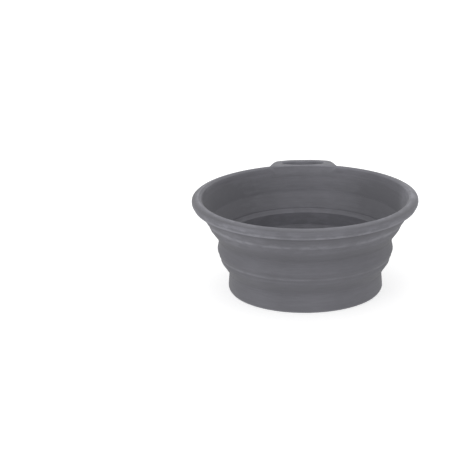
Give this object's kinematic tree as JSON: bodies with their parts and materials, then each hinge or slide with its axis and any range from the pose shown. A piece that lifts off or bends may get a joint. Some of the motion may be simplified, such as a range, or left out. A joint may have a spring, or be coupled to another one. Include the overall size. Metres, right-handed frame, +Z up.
{
  "type": "collapsible bowl",
  "caption": "Round silicone bowl that presses flat: three nesting tiers joined by fold webs, a rolled rim and a slotted hang tab.",
  "frame": {"origin": "on the bowl's axis, at the flat underside of the base", "axes": "+Z up along the bowl's axis and against the direction of collapse, +Y towards the hang tab"},
  "size_m": [0.13, 0.1394, 0.0558],
  "materials": {
    "silicone": "matte"
  },
  "bodies": {
    "base_tier": {"base_floor": "silicone", "base_band": "silicone", "lower_fold_web": "silicone"},
    "middle_tier": {"lower_fold_bead": "silicone", "middle_band": "silicone", "upper_fold_web": "silicone"},
    "rim_tier": {"upper_fold_bead": "silicone", "upper_wall": "silicone", "rim_bead": "silicone", "hang_tab": "silicone"}
  },
  "joints": [
    {"name": "middle_collapse", "type": "slide", "parent": "base_tier", "child": "middle_tier", "axis": [0, 0, -1], "range_m": [0, 0.0201], "deforming": ["lower_fold_web"]},
    {"name": "rim_collapse", "type": "slide", "parent": "middle_tier", "child": "rim_tier", "axis": [0, 0, -1], "range_m": [0, 0.0211], "deforming": ["upper_fold_web"]}
  ]
}
